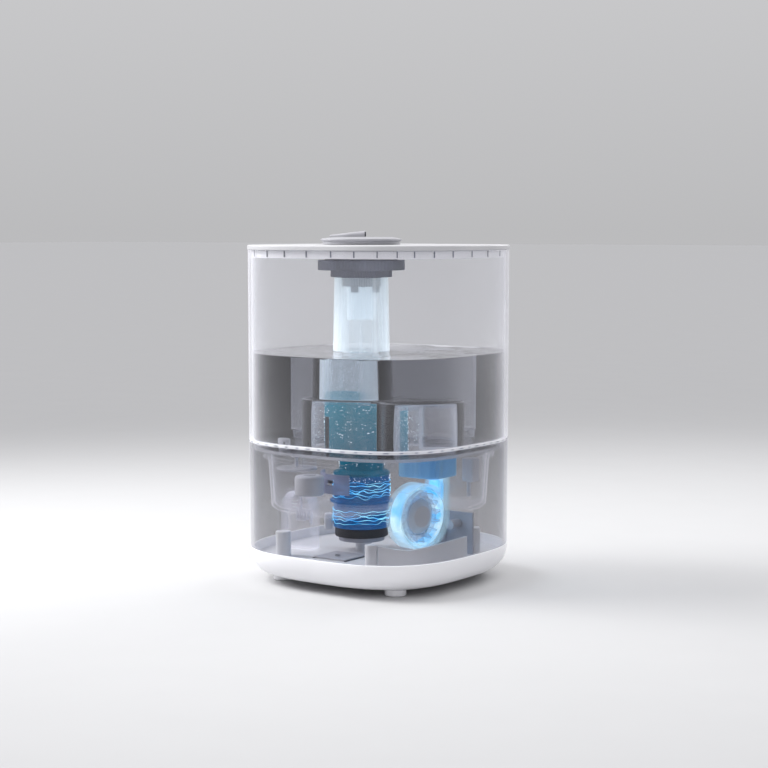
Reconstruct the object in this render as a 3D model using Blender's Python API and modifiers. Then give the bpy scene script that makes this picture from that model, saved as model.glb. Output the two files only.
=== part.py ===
"""Cool mist humidifier: clear squircle tank and base, white lid and base pan.

Blender 4.5, metres, +Z up. The origin is the centre of the footprint at the feet.
-Y is the front face and +X the right one; power comes in at the back, +Y.
Sizes below are millimetres, and MM turns them into metres.
"""
from math import acos, atan2, cos, degrees, pi, radians, sin, sqrt

import bmesh
import bpy
from mathutils import Matrix, Vector

MM = 0.001
GAP = 0.3

# driving sizes
WIDTH = 200.0
SQUARENESS = 3.0
RING_POINTS = 40
HALF_LID = WIDTH / 2
HALF_TANK_TOP = HALF_LID - 0.4
HALF_SEAM = HALF_LID - 0.6
HALF_RIM = HALF_LID - 1.0
WALL = 2.4

# levels
FOOT_Z = 5.7
PAN_Z = 6.0
DECK_UNDER_Z = 18.5
DECK_Z = 21.0
RIM_Z = 29.0
TRAY_Z = 61.0
TRAY_FLOOR_Z = 63.4
TRAY_RIM_Z = 107.0
SEAM_Z = 119.0
TANK_UNDER_Z = 112.0
TANK_FLOOR_Z = 114.0
FLANGE_Z = 121.2
DOME_Z = 155.2
TUBE_TOP_Z = 257.0
SKIRT_Z = 274.5
LID_Z = 281.3
LID_TOP_Z = 285.3
DIAL_Z = 288.0
DIAL_TOP_Z = 291.7
SPOUT_TOP_Z = 297.0

# places in plan
MIST = (-19.0, 0.0)
DOME_LOBE = (42.0, -5.0)
FLOAT = (-40.2, -46.2)
VALVE = (-49.0, -52.5)
BAY = (26.0, 17.0)
POSTS = ((-54.5, -64.0), (-55.0, 55.0), (66.0, 47.0))
POST_TOP_Z = 42.6
UPSTAND_TOP = ((-55.0, 40.6), (-45.0, 38.1), (-38.3, 36.2), (-29.1, 37.0), (-17.5, 38.0), (-3.6, 38.4),
               (17.0, 38.8))
FOOT_AT = 58.5

# blower: centre, and the compass angle of its shaft
BLOWER = Vector((52.0, -18.0, 59.4))
BLOWER_TURN = -11.25
VOLUTE_R = 27.8
VOLUTE_HALF = 9.0
VOLUTE_WALL = 2.0
DUCT_LOW = 17.5
DUCT_TOP = 32.0

# intake drum
DRUM_X = -67.0
DRUM_Y = (-32.0, -18.0)
DRUM_HALF = 16.0
DRUM_TOP_Z = 72.0

# mist chamber
CHAMBER_R = 24.5
CHAMBER_WALL = 2.0
CHAMBER_Z = 42.0
CHAMBER_TOP_Z = 87.0
RISER_R = 19.5
RISER_TOP_Z = 160.0

# float and valve, both able to rise by the travel
FLOAT_TRAVEL = 4.0
CUP_TOP_Z = 89.0
PLATE_Z = (94.4, 96.6)


for old in list(bpy.data.objects):
    bpy.data.objects.remove(old, do_unlink=True)

parts = bpy.data.collections.new("cool_mist_humidifier")
cutters = bpy.data.collections.new("cutters")
bpy.context.scene.collection.children.link(parts)
bpy.context.scene.collection.children.link(cutters)


# ---------------------------------------------------------------- materials

def principled(name, colour, roughness, metallic=0.0, alpha=1.0):
    material = bpy.data.materials.new(name)
    material.use_nodes = True
    shader = material.node_tree.nodes["Principled BSDF"]
    shader.inputs["Base Color"].default_value = (*colour, 1.0)
    shader.inputs["Roughness"].default_value = roughness
    shader.inputs["Metallic"].default_value = metallic
    shader.inputs["Alpha"].default_value = alpha
    material.diffuse_color = (*colour, alpha)
    return material


LOOKS = {
    "white": ((0.86, 0.86, 0.88), 0.35, 0.0, 1.0),
    "clear": ((0.80, 0.84, 0.88), 0.08, 0.0, 0.3),
    "slate": ((0.13, 0.15, 0.19), 0.45, 0.0, 1.0),
    "blue": ((0.10, 0.35, 0.75), 0.15, 0.0, 0.6),
    "teal": ((0.02, 0.30, 0.38), 0.20, 0.0, 0.7),
    "dark_rubber": ((0.03, 0.03, 0.04), 0.70, 0.0, 1.0),
    "grey": ((0.45, 0.45, 0.48), 0.45, 0.0, 1.0),
    "steel": ((0.60, 0.60, 0.62), 0.30, 1.0, 1.0),
    "board": ((0.03, 0.16, 0.09), 0.50, 0.0, 1.0),
}


# ---------------------------------------------------------------- outlines

def squircle(half, z, count=RING_POINTS, start=0.0, end=2 * pi):
    """Points of a superellipse in plan, at height z; a full turn leaves out the repeated end."""
    full = abs(end - start - 2 * pi) < 1e-9
    steps = count if full else count - 1
    points = []
    for i in range(count):
        angle = start + (end - start) * i / steps
        spread = abs(cos(angle)) ** SQUARENESS + abs(sin(angle)) ** SQUARENESS
        radius = half / spread ** (1 / SQUARENESS)
        points.append(Vector((radius * cos(angle), radius * sin(angle), z)))
    return points


def circle(centre, radius, z, count=RING_POINTS):
    return [Vector((centre[0] + radius * cos(2 * pi * i / count),
                    centre[1] + radius * sin(2 * pi * i / count), z)) for i in range(count)]


LOBES = ((MIST, 35.0), (DOME_LOBE, 27.0))
DOME_MIDDLE = (8.0, -2.0)
DOME_BLEND = 14.0


def dome_field(x, y):
    """Signed distance to the two lobes, joined by a smooth waist."""
    a, b = (sqrt((x - c[0]) ** 2 + (y - c[1]) ** 2) - r for c, r in LOBES)
    mix = max(DOME_BLEND - abs(a - b), 0.0) / DOME_BLEND
    return min(a, b) - mix * mix * DOME_BLEND / 4


def dome_outline(inset, z):
    """Peanut outline around the mist tube and the air duct."""
    points = []
    for i in range(RING_POINTS):
        angle = 2 * pi * i / RING_POINTS
        near, far = 0.0, 90.0
        while far - near > 0.001:
            middle = (near + far) / 2
            x = DOME_MIDDLE[0] + middle * cos(angle)
            y = DOME_MIDDLE[1] + middle * sin(angle)
            if dome_field(x, y) + inset < 0:
                near = middle
            else:
                far = middle
        points.append(Vector((DOME_MIDDLE[0] + near * cos(angle), DOME_MIDDLE[1] + near * sin(angle), z)))
    return points


def volute_outline(inset, depth, arc_points=26):
    """The d-shaped outline of the blower housing, in the blower's own frame."""
    radius = VOLUTE_R - inset
    left = DUCT_LOW + inset
    last = acos(left / radius)
    turn = 2 * pi - last
    points = [Vector((radius * cos(-turn * i / arc_points), radius * sin(-turn * i / arc_points), depth))
              for i in range(arc_points + 1)]
    top = DUCT_TOP - inset
    return [Vector((radius, top, depth))] + points + [Vector((left, top, depth))]


def arch_outline(grow, low, arc_points=12):
    """Upright sides under a round top, as x and z pairs around the drum's middle."""
    radius = DRUM_HALF + grow
    centre = DRUM_TOP_Z - DRUM_HALF
    arc = [(DRUM_X + radius * cos(pi * i / arc_points), centre + radius * sin(pi * i / arc_points))
           for i in range(arc_points + 1)]
    return [(DRUM_X + radius, low)] + arc + [(DRUM_X - radius, low)]


# ---------------------------------------------------------------- shapes

def place(name, mesh, look, cutter=False, smooth=35):
    if smooth:
        mesh.shade_smooth()
        mesh.set_sharp_from_angle(angle=radians(smooth))
    obj = bpy.data.objects.new(name, mesh)
    (cutters if cutter else parts).objects.link(obj)
    if cutter:
        obj.hide_render = True
        obj.display_type = "WIRE"
    else:
        mesh.materials.append(principled(name, *LOOKS[look]))
    return obj


def finish(name, shape, look, cutter=False, smooth=35):
    """Turn a bmesh in millimetres into an object in metres."""
    bmesh.ops.recalc_face_normals(shape, faces=shape.faces)
    bmesh.ops.scale(shape, vec=(MM, MM, MM), verts=shape.verts)
    mesh = bpy.data.meshes.new(name)
    shape.to_mesh(mesh)
    shape.free()
    return place(name, mesh, look, cutter, smooth)


def loft(name, rings, look="white", cutter=False, smooth=35, frame=None):
    """Skin over unlike sections. Rings that return to the first one close on themselves."""
    shape = bmesh.new()
    endless = rings[0] is rings[-1]
    sections = rings[:-1] if endless else rings
    rows = [[shape.verts.new(p) for p in ring] for ring in sections]
    pairs = list(zip(rows, rows[1:] + rows[:1] if endless else rows[1:]))
    for low, high in pairs:
        for i in range(len(low)):
            j = (i + 1) % len(low)
            shape.faces.new((low[i], low[j], high[j], high[i]))
    if not endless:
        shape.faces.new(rows[0])
        shape.faces.new(rows[-1])
    if frame:
        bmesh.ops.transform(shape, matrix=frame, verts=shape.verts)
    return finish(name, shape, look, cutter, smooth)


def squircle_shell(name, sections, look="white", cutter=False):
    """Squircle rings given as (half width, height) pairs."""
    return loft(name, [squircle(half, z) for half, z in sections], look, cutter)


def squircle_tube(name, sections, look="white"):
    rings = [squircle(half, z) for half, z in sections]
    return loft(name, rings + rings[:1], look)


def box(name, low, high, look="white", cutter=False, bevel=0.0, turn=0.0):
    """Box between two corners, turned about its own middle by an angle in degrees."""
    shape = bmesh.new()
    bmesh.ops.create_cube(shape, size=1.0)
    size = Vector(high) - Vector(low)
    bmesh.ops.scale(shape, vec=size, verts=shape.verts)
    bmesh.ops.rotate(shape, matrix=Matrix.Rotation(radians(turn), 3, "Z"), verts=shape.verts)
    bmesh.ops.translate(shape, vec=(Vector(low) + Vector(high)) / 2, verts=shape.verts)
    obj = finish(name, shape, look, cutter, 0 if not bevel else 40)
    if bevel:
        edge = obj.modifiers.new("edges", "BEVEL")
        edge.width = bevel * MM
        edge.segments = 2
        edge.limit_method = "ANGLE"
    return obj


def rod(name, centre, radius, low, high, look="white", cutter=False, sides=20, frame=None):
    """Upright cylinder, or one in another frame."""
    shape = bmesh.new()
    bmesh.ops.create_cone(shape, cap_ends=True, segments=sides, radius1=radius, radius2=radius,
                          depth=high - low)
    bmesh.ops.translate(shape, vec=(centre[0], centre[1], (low + high) / 2), verts=shape.verts)
    if frame:
        bmesh.ops.transform(shape, matrix=frame, verts=shape.verts)
    return finish(name, shape, look, cutter)


def turned(name, profile, look="white", centre=(0.0, 0.0), sides=28, frame=None, closed=True):
    """Profile of (radius, height) pairs, down the outer side first, turned about +Z."""
    mesh = bpy.data.meshes.new(name)
    edges = [(i, i + 1) for i in range(len(profile) - 1)]
    if closed:
        edges.append((len(profile) - 1, 0))
    mesh.from_pydata([(r * MM, 0.0, z * MM) for r, z in profile], edges, [])
    obj = place(name, mesh, look, smooth=0)
    screw = obj.modifiers.new("turn", "SCREW")
    screw.steps = sides
    screw.render_steps = sides
    screw.use_merge_vertices = True
    screw.merge_threshold = 0.00001
    screw.use_smooth_shade = True
    if frame:
        obj.matrix_world = frame
    else:
        obj.location = (centre[0] * MM, centre[1] * MM, 0.0)
    return obj


def flat(name, outlines, look, frame, thickness, cutter=False):
    """Flat outline with its holes, as a filled 2D curve extruded both ways, made a mesh."""
    curve = bpy.data.curves.new(name, "CURVE")
    curve.dimensions = "2D"
    curve.fill_mode = "BOTH"
    curve.extrude = thickness / 2 * MM
    for outline in outlines:
        spline = curve.splines.new("POLY")
        spline.points.add(len(outline) - 1)
        for point, (x, y) in zip(spline.points, outline):
            point.co = (x * MM, y * MM, 0.0, 1.0)
        spline.use_cyclic_u = True
    guide = bpy.data.objects.new(name + "_guide", curve)
    bpy.context.scene.collection.objects.link(guide)
    bpy.context.view_layer.update()
    mesh = bpy.data.meshes.new_from_object(guide.evaluated_get(bpy.context.evaluated_depsgraph_get()))
    bpy.data.objects.remove(guide, do_unlink=True)
    shape = bmesh.new()
    shape.from_mesh(mesh)
    bmesh.ops.remove_doubles(shape, verts=shape.verts, dist=0.000005)
    bmesh.ops.recalc_face_normals(shape, faces=shape.faces)
    shape.to_mesh(mesh)
    shape.free()
    obj = place(name, mesh, look, cutter)
    obj.matrix_world = frame
    return obj


def combine(obj, other, operation):
    step = obj.modifiers.new(other.name, "BOOLEAN")
    step.operation = operation
    step.solver = "EXACT"
    step.object = other
    return obj


def cut(obj, *tools):
    for tool in tools:
        combine(obj, tool, "DIFFERENCE")


def join(obj, *extras):
    for extra in extras:
        combine(obj, extra, "UNION")


def metres(matrix):
    """The same frame with its origin given in millimetres turned into metres."""
    scaled = matrix.copy()
    scaled.translation = matrix.translation * MM
    return scaled


# the blower's frame: +X along the housing's flat face, +Y up, +Z out of the air inlet
shaft = Vector((cos(radians(BLOWER_TURN)), sin(radians(BLOWER_TURN)), 0.0))
across = Vector((-shaft.y, shaft.x, 0.0))
BLOWER_FRAME = Matrix.Translation(BLOWER) @ Matrix((across, Vector((0, 0, 1)), shaft)).transposed().to_4x4()


# ---------------------------------------------------------------- base

def upstand_top(angle):
    """Height of the curved upstand, which dips where the blower housing leans over it."""
    for (a, low), (b, high) in zip(UPSTAND_TOP, UPSTAND_TOP[1:]):
        if angle <= b:
            return low + (high - low) * max(0.0, (angle - a) / (b - a))
    return UPSTAND_TOP[-1][1]


def base_pan():
    pan = squircle_shell("base_pan", [
        (90.0, DECK_UNDER_Z), (89.0, 16.5), (84.0, 11.6), (78.2, 9.2), (77.5, PAN_Z), (80.5, PAN_Z),
        (88.5, 8.2), (94.2, 12.6), (97.6, 19.0), (HALF_RIM - 0.2, 25.5), (HALF_RIM, RIM_Z),
        (HALF_RIM - 3.0, RIM_Z), (HALF_RIM - 3.4, DECK_Z)])
    inside = DECK_Z - 1.5
    posts = [rod("post_front_left", POSTS[0], 6.5, inside, POST_TOP_Z, cutter=True),
             rod("post_back_left", POSTS[1], 6.5, inside, POST_TOP_Z, cutter=True),
             rod("post_back_right", POSTS[2], 6.0, inside, POST_TOP_Z, cutter=True),
             rod("post_front", (42.0, -69.5), 5.2, inside, 41.5, cutter=True),
             rod("transducer_post", (MIST[0] + 2.0, MIST[1]), 7.0, inside, 29.8, cutter=True)]
    outer = squircle(76.0, 0.0, 15, radians(-55), radians(17))
    inner = squircle(73.4, 0.0, 15, radians(-55), radians(17))
    outline = outer + inner[::-1]
    upstand = loft("curved_upstand", [
        [p + Vector((0, 0, inside)) for p in outline],
        [p + Vector((0, 0, upstand_top(degrees(atan2(p.y, p.x))))) for p in outline]], cutter=True)
    join(pan, *posts, upstand)
    cut(pan, box("button_hole", (-37.0, 90.0, 22.0), (-23.0, 102.0, 28.0), cutter=True),
        rod("inlet_hole", (0.0, 0.0), 3.4, -102.0, -90.0, cutter=True,
            frame=Matrix.Translation((30.0, 0.0, 25.0)) @ Matrix.Rotation(radians(90), 4, "X")))


def bottom_cover():
    cover = squircle_shell("bottom_cover", [(76.9, 6.4), (76.9, 8.4)])
    for i in range(7):
        x = (i - 3) * 11.0
        cut(cover, box(f"air_slot_{i + 1}", (x - 2.6, -26.0, 5.0), (x + 2.6, 26.0, 10.0), cutter=True))
    for i, (x, y) in enumerate(((68, 0), (0, 68), (-68, 0), (0, -68))):
        rod(f"cover_screw_{i + 1}", (x, y), 3.2, 4.3, 6.4 - GAP, "steel", sides=12)
    for i, (x, y) in enumerate(((1, -1), (1, 1), (-1, 1), (-1, -1))):
        turned(f"foot_{i + 1}", [(0.0, FOOT_Z), (9.0, FOOT_Z), (9.0, 0.9), (8.2, 0.0), (0.0, 0.0)],
               "white", (x * FOOT_AT, y * FOOT_AT), sides=20, closed=False)


def base_housing():
    squircle_tube("base_housing", [
        (HALF_RIM, RIM_Z + GAP), (HALF_SEAM, SEAM_Z - GAP), (HALF_SEAM - WALL, SEAM_Z - GAP),
        (HALF_RIM - WALL, RIM_Z + GAP)], "clear")


def drum_frame(y):
    """Frame whose x and y are the drum's x and z, standing at depth y."""
    return metres(Matrix.Translation((0.0, y, 0.0)) @ Matrix.Rotation(radians(90), 4, "X"))


def intake_drum():
    low = DECK_Z + GAP
    middle = sum(DRUM_Y) / 2
    thick = DRUM_Y[1] - DRUM_Y[0]
    drum = flat("intake_drum", [arch_outline(0.0, low)], "clear", drum_frame(middle), thick)
    wall = 1.8
    hollow = flat("drum_hollow", [arch_outline(-wall, low - 5.0)], "clear", drum_frame(middle),
                  thick - 2 * wall, True)
    cut(drum, hollow)
    far = DRUM_Y[1] - wall - GAP
    near = far - 1.6
    board = box("sensor_board", (-74.6, near, 44.2), (-64.6, far, 54.9), "grey")
    cut(board, *[box(f"sensor_slot_{i}", (x, near - 1.0, 45.8), (x + 1.7, far + 1.0, 53.3), cutter=True)
                 for i, x in enumerate((-73.2, -70.45, -67.7))])
    join(board, box("sensor_stem", (-70.6, near, 54.0), (-68.6, far, 68.5), cutter=True),
         box("sensor_arm", (-65.0, near, 53.4), (-57.2, far, 54.9), cutter=True),
         box("sensor_pin_1", (-62.8, near, 45.5), (-61.2, far, 54.0), cutter=True),
         box("sensor_pin_2", (-58.8, near, 42.1), (-57.2, far, 54.0), cutter=True))


def water_tray():
    tray = squircle_shell("water_tray", [
        (79.8, TRAY_Z), (82.5, TRAY_FLOOR_Z), (85.0, TRAY_RIM_Z - 2.4), (88.8, TRAY_RIM_Z - 2.4),
        (88.8, TRAY_RIM_Z)], "clear")
    cavity = squircle_shell("tray_cavity", [
        (78.0, TRAY_FLOOR_Z), (80.7, TRAY_FLOOR_Z + 2.4), (83.1, TRAY_RIM_Z + 2.0)], cutter=True)
    far = 130.0
    middle = sum(DRUM_Y) / 2
    thick = DRUM_Y[1] - DRUM_Y[0]
    hump = flat("hump_outside", [arch_outline(2.8, 40.0)], "clear", drum_frame(middle), thick + 5.4, True)
    cut(hump, box("hump_under", (-far, -60.0, 30.0), (0.0, 0.0, TRAY_Z + 0.8), cutter=True))
    cut(cavity, box("bay_wall", (BAY[0] - 2.2, -far, 40.0), (far, BAY[1] + 2.2, 140.0), cutter=True), hump)
    join(tray, hump)
    cut(tray, cavity, box("blower_bay", (BAY[0], -far, 40.0), (far, BAY[1], 140.0), cutter=True),
        flat("hump_inside", [arch_outline(0.8, 40.0)], "clear", drum_frame(middle), thick + 1.4, True),
        rod("chamber_hole", MIST, CHAMBER_R + 0.7, 50.0, 80.0, cutter=True, sides=32))
    join(tray, *[rod(f"tray_leg_{i}", at, 4.6, POST_TOP_Z + GAP, TRAY_Z + 1.4, cutter=True, sides=16)
                 for i, at in enumerate(POSTS)])


def mist_works():
    inner = CHAMBER_R - CHAMBER_WALL
    turned("mist_chamber", [
        (CHAMBER_R, CHAMBER_TOP_Z), (CHAMBER_R, 65.6), (CHAMBER_R + 3.0, 65.6),
        (CHAMBER_R + 3.0, TRAY_FLOOR_Z + GAP), (CHAMBER_R, TRAY_FLOOR_Z + GAP), (CHAMBER_R, CHAMBER_Z),
        (10.0, CHAMBER_Z), (10.0, CHAMBER_Z + 2.0), (inner, CHAMBER_Z + 2.0), (inner, CHAMBER_TOP_Z)],
        "blue", MIST, 28)
    bore = RISER_R - 1.8
    foot = CHAMBER_TOP_Z + GAP
    turned("mist_riser", [
        (RISER_R, RISER_TOP_Z), (RISER_R, foot + 4.7), (CHAMBER_R, foot + 2.3), (CHAMBER_R, foot),
        (inner, foot), (bore, foot + 3.7), (bore, RISER_TOP_Z)],
        "teal", MIST, 24)
    turned("transducer_seal", [(23.0, 41.7), (23.0, 34.0), (9.2, 34.0), (9.2, 41.7)], "dark_rubber", MIST, 28)
    rod("transducer", MIST, 8.8, 38.4, 40.4, "steel", sides=20)
    rod("transducer_board", MIST, 20.0, 30.2, 33.6, "board", sides=24)
    first, last = radians(-164), radians(-71)
    steps = 10
    angles = [first + (last - first) * i / steps for i in range(steps + 1)]
    arc = [(MIST[0] + 35.8 * cos(a), MIST[1] + 35.8 * sin(a)) for a in angles]
    arc += [(MIST[0] + 33.8 * cos(a), MIST[1] + 33.8 * sin(a)) for a in reversed(angles)]
    collar = flat("chamber_collar", [arc], "grey", metres(Matrix.Translation((0, 0, 81.5))), 17.0)
    for i, angle in enumerate((-134.0, -104.0)):
        at = (MIST[0] + 35.0 * cos(radians(angle)), MIST[1] + 35.0 * sin(radians(angle)))
        window = box(f"collar_window_{i + 1}", (at[0] - 5.0, at[1] - 2.4, 80.5),
                     (at[0] + 5.0, at[1] + 2.4, 85.0), cutter=True, turn=angle)
        cut(collar, window)
    side = radians(-144)
    at = (MIST[0] + 28.7 * cos(side), MIST[1] + 28.7 * sin(side))
    box("chamber_bracket", (at[0] - 3.6, at[1] - 5.0, 39.0), (at[0] + 3.6, at[1] + 5.0, 53.0), "white",
        bevel=1.0, turn=degrees(side))


def blower():
    frame = BLOWER_FRAME
    body = loft("blower_volute", [
        volute_outline(0.0, -VOLUTE_HALF), volute_outline(0.0, VOLUTE_HALF),
        volute_outline(VOLUTE_WALL, VOLUTE_HALF), volute_outline(VOLUTE_WALL, 2.0 - VOLUTE_HALF)],
        "clear", frame=frame)
    outlet = box("volute_outlet", (DUCT_LOW + 2.0, 26.0, -7.0), (VOLUTE_R - 2.0, 45.0, 7.0), cutter=True)
    outlet.matrix_world = metres(frame)
    cut(body, outlet, rod("shaft_hole", (0, 0), 3.0, -12.0, 0.0, cutter=True, sides=16, frame=frame))
    face = VOLUTE_HALF + GAP + 0.8
    inlet = [(23.0 * cos(2 * pi * i / 28), 23.0 * sin(2 * pi * i / 28)) for i in range(28)]
    flat("volute_cover", [[(p.x, p.y) for p in volute_outline(0.0, 0.0)], inlet], "clear",
         metres(frame @ Matrix.Translation((0, 0, face))), 1.6)
    turned("blower_motor", [
        (0.0, -16.0), (2.2, -16.0), (2.2, -9.4), (13.0, -9.4), (13.0, -20.0), (0.0, -20.0)],
        "grey", frame=metres(frame), sides=24, closed=False)
    turned("blower_hub", [
        (0.0, 6.8), (9.0, 6.2), (15.0, 2.5), (15.0, -5.5), (1.6, -5.5), (1.6, -15.0), (0.0, -15.0)],
        "grey", frame=metres(frame), sides=16, closed=False)
    blades = 16
    teeth = []
    for i in range(blades):
        start = 2 * pi * i / blades
        teeth += [(r * cos(start + a), r * sin(start + a)) for r, a in
                  ((17.4, 0.0), (22.2, 0.10), (22.2, 0.18), (17.4, 0.12))]
    ring = [(15.5 * cos(2 * pi * i / 32), 15.5 * sin(2 * pi * i / 32)) for i in range(32)]
    flat("blower_wheel", [teeth, ring], "clear", metres(frame), 11.0)


def duct_box():
    low, high = (34.0, -24.0), (74.0, 13.0)
    duct = box("duct_box", (*low, 92.0), (*high, TANK_UNDER_Z - 0.8), "blue")
    wall = 2.0
    hollow = box("duct_hollow", (low[0] + wall, low[1] + wall, 94.0), (high[0] - wall, high[1] - wall, 120.0),
                 cutter=True)
    outlet = box("duct_inlet", (DUCT_LOW + 2.0, 30.0, -7.0), (VOLUTE_R - 2.0, 45.0, 7.0), cutter=True)
    outlet.matrix_world = metres(BLOWER_FRAME)
    cut(duct, hollow, outlet)


def electronics():
    box("control_board", (27.0, 35.0, DECK_Z + GAP), (73.0, 36.6, 57.0), "board")
    box("board_transformer", (31.0, 24.0, 30.0), (46.0, 34.7, 46.0), "grey", bevel=1.0)
    rod("board_capacitor", (0, 0), 4.0, 22.0, 34.7, "slate", sides=16,
        frame=Matrix.Translation((58.0, 0.0, 47.0)) @ Matrix.Rotation(radians(-90), 4, "X"))
    box("level_switch_box", (66.2, 27.7, 84.5), (77.7, 39.1, 104.5), "white", bevel=1.0)
    rod("level_switch_pin", (70.2, 33.1), 1.8, 71.5, 84.5 - GAP, "white", sides=12)
    box("access_plate", (-28.0, -55.0, DECK_Z + GAP), (4.0, -24.0, DECK_Z + 1.5), "grey")
    rod("access_screw", (-12.0, -44.0), 2.2, DECK_Z + 1.5 + GAP, DECK_Z + 2.8, "steel", sides=12)
    box("power_button", (-36.6, 92.6, 22.4), (-23.4, 98.3, 27.6), "white", bevel=0.8)
    box("button_switch", (-34.0, 85.6, DECK_Z + GAP), (-26.0, 91.4, 28.0), "slate")
    turned("dc_inlet", [(0.0, 2.0), (2.0, 2.0), (2.0, 9.6), (3.1, 9.6), (3.1, 0.0), (0.0, 0.0)], "slate",
           frame=metres(Matrix.Translation((30.0, 88.0, 25.0)) @ Matrix.Rotation(radians(-90), 4, "X")),
           sides=16, closed=False)


# ---------------------------------------------------------------- float and valve

def float_and_valve():
    stem_top = TANK_UNDER_Z - FLOAT_TRAVEL - 1.2
    rod("float_cup", FLOAT, 12.5, 72.5, CUP_TOP_Z, "white", sides=24)
    rod("float_stem", FLOAT, 6.0, CUP_TOP_Z + GAP, stem_top, "clear", sides=20)
    plate = rod("float_plate", VALVE, 17.5, *PLATE_Z, "clear", sides=28)
    cut(plate, rod("stem_hole", FLOAT, 6.4, 90.0, 110.0, cutter=True))
    plunger = rod("valve_plunger", VALVE, 1.5, PLATE_Z[1] + 0.5, TANK_FLOOR_Z + 1.4, "white", sides=12)
    disc_top = stem_top
    bar_low = (VALVE[0] - 4.2, VALVE[1] - 1.2, TANK_FLOOR_Z + GAP)
    bar_high = (VALVE[0] + 4.2, VALVE[1] + 1.2, TANK_FLOOR_Z + 1.8)
    join(plunger, rod("plunger_disc", VALVE, 4.4, disc_top - 1.6, disc_top, cutter=True, sides=16),
         box("plunger_bar", bar_low, bar_high, cutter=True))
    low, high = disc_top + GAP, disc_top + 1.0
    turned("valve_seal", [(4.3, high), (4.3, low), (1.9, low), (1.9, high)], "dark_rubber", VALVE, 16)


# ---------------------------------------------------------------- tank

def tank():
    hole = 21.5
    rings = [
        circle(MIST, hole, DOME_Z), dome_outline(1.6, DOME_Z), dome_outline(0.0, DOME_Z - 1.6),
        dome_outline(0.0, TANK_FLOOR_Z), squircle(93.6, TANK_FLOOR_Z), squircle(94.2, FLANGE_Z),
        squircle(HALF_SEAM, FLANGE_Z), squircle(HALF_SEAM, SEAM_Z), squircle(96.0, SEAM_Z),
        squircle(95.6, TANK_UNDER_Z), dome_outline(2.0, TANK_UNDER_Z), dome_outline(2.0, DOME_Z - 2.0),
        circle(MIST, hole, DOME_Z - 2.0)]
    floor = loft("tank_floor", rings + rings[:1], "clear")
    cut(floor, rod("valve_outlet", VALVE, 3.4, 110.0, 118.0, cutter=True, sides=16))
    squircle_tube("tank_wall", [
        (HALF_SEAM, FLANGE_Z + GAP), (HALF_TANK_TOP, LID_Z - GAP), (HALF_TANK_TOP - WALL, LID_Z - GAP),
        (HALF_SEAM - WALL, FLANGE_Z + GAP)], "clear")
    turned("mist_tube", [
        (23.2, TUBE_TOP_Z), (24.4, 195.0), (25.3, DOME_Z + GAP), (23.3, DOME_Z + GAP), (22.4, 195.0),
        (21.2, TUBE_TOP_Z)], "clear", MIST, 24)
    foot, roof = TANK_FLOOR_Z + GAP, TANK_FLOOR_Z + 6.8
    cage = turned("valve_cage", [
        (0.0, roof + 2.0), (4.4, roof + 2.0), (5.4, roof + 1.0), (5.4, foot), (4.6, foot), (4.6, roof),
        (0.0, roof)], "white", VALVE, 20, closed=False)
    for i in range(3):
        slot = box(f"cage_slot_{i + 1}", (-8.0, -0.9, foot + 1.9), (8.0, 0.9, roof - 1.0),
                   cutter=True, turn=60.0 * i)
        slot.location = (VALVE[0] * MM, VALVE[1] * MM, 0.0)
        cut(cage, slot)
    angle = radians(-82.7)
    at = (MIST[0] + 36.0 * cos(angle), MIST[1] + 36.0 * sin(angle))
    box("gauge_strip", (at[0] - 0.4, at[1] - 1.6, TANK_FLOOR_Z + 1.0), (at[0] + 0.4, at[1] + 1.6, 142.0),
        "slate", turn=degrees(angle))


# ---------------------------------------------------------------- lid and nozzle

def lid():
    rings = [
        squircle(HALF_LID, LID_Z), squircle(HALF_LID, LID_TOP_Z - 1.0), squircle(HALF_LID - 0.8, LID_TOP_Z),
        circle(MIST, 31.5, LID_TOP_Z), circle(MIST, 31.5, LID_Z)]
    loft("lid_plate", rings + rings[:1])
    squircle_tube("lid_skirt", [(96.5, SKIRT_Z), (96.6, LID_Z - GAP), (94.6, LID_Z - GAP), (94.6, SKIRT_Z)])
    turned("nozzle_seat", [
        (31.0, 285.0), (31.0, 272.0), (37.3, 272.0), (37.3, 263.5), (26.4, 263.5), (26.4, 257.6),
        (17.0, 257.6), (17.0, 249.5), (15.0, 249.5), (15.0, 259.6), (24.0, 261.0), (28.9, 266.0),
        (28.9, 285.0)], "slate", MIST, 24)
    turned("drip_sleeve", [(12.4, 256.0), (12.4, 221.0), (11.0, 221.0), (11.0, 256.0)], "clear", MIST, 24)


def nozzle():
    turned("nozzle_dial", [
        (33.7, DIAL_TOP_Z), (34.7, DIAL_TOP_Z - 0.8), (34.7, DIAL_Z), (33.0, DIAL_Z), (33.0, LID_TOP_Z + GAP),
        (28.3, LID_TOP_Z + GAP), (28.3, 270.0), (26.6, 270.0), (26.6, DIAL_Z), (9.0, DIAL_Z),
        (9.0, DIAL_TOP_Z)], "white", MIST, 28)
    foot = DIAL_TOP_Z + GAP
    spout = []
    wedge = ((-27.0, 9.0, 1.4), (-18.0, 12.0, 3.0), (-8.0, 13.0, 4.3), (3.0, 13.0, SPOUT_TOP_Z - foot))
    for along, half, height in wedge:
        arch = []
        for shrink in (0.0, 1.1):
            side = [(half - shrink, 0.0), (half - shrink, 0.55 * (height - shrink)),
                    (half * 0.72 - shrink, height - shrink)]
            mirrored = [(-y, z) for y, z in reversed(side)]
            arch.append([Vector((along, y, foot + z)) for y, z in side + mirrored])
        spout.append(arch[0] + arch[1][::-1])
    turn = Matrix.Translation((*MIST, 0.0)) @ Matrix.Rotation(radians(35.75), 4, "Z")
    loft("nozzle_spout", spout, frame=turn)


base_pan()
bottom_cover()
base_housing()
intake_drum()
water_tray()
mist_works()
blower()
duct_box()
electronics()
float_and_valve()
tank()
lid()
nozzle()
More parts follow.
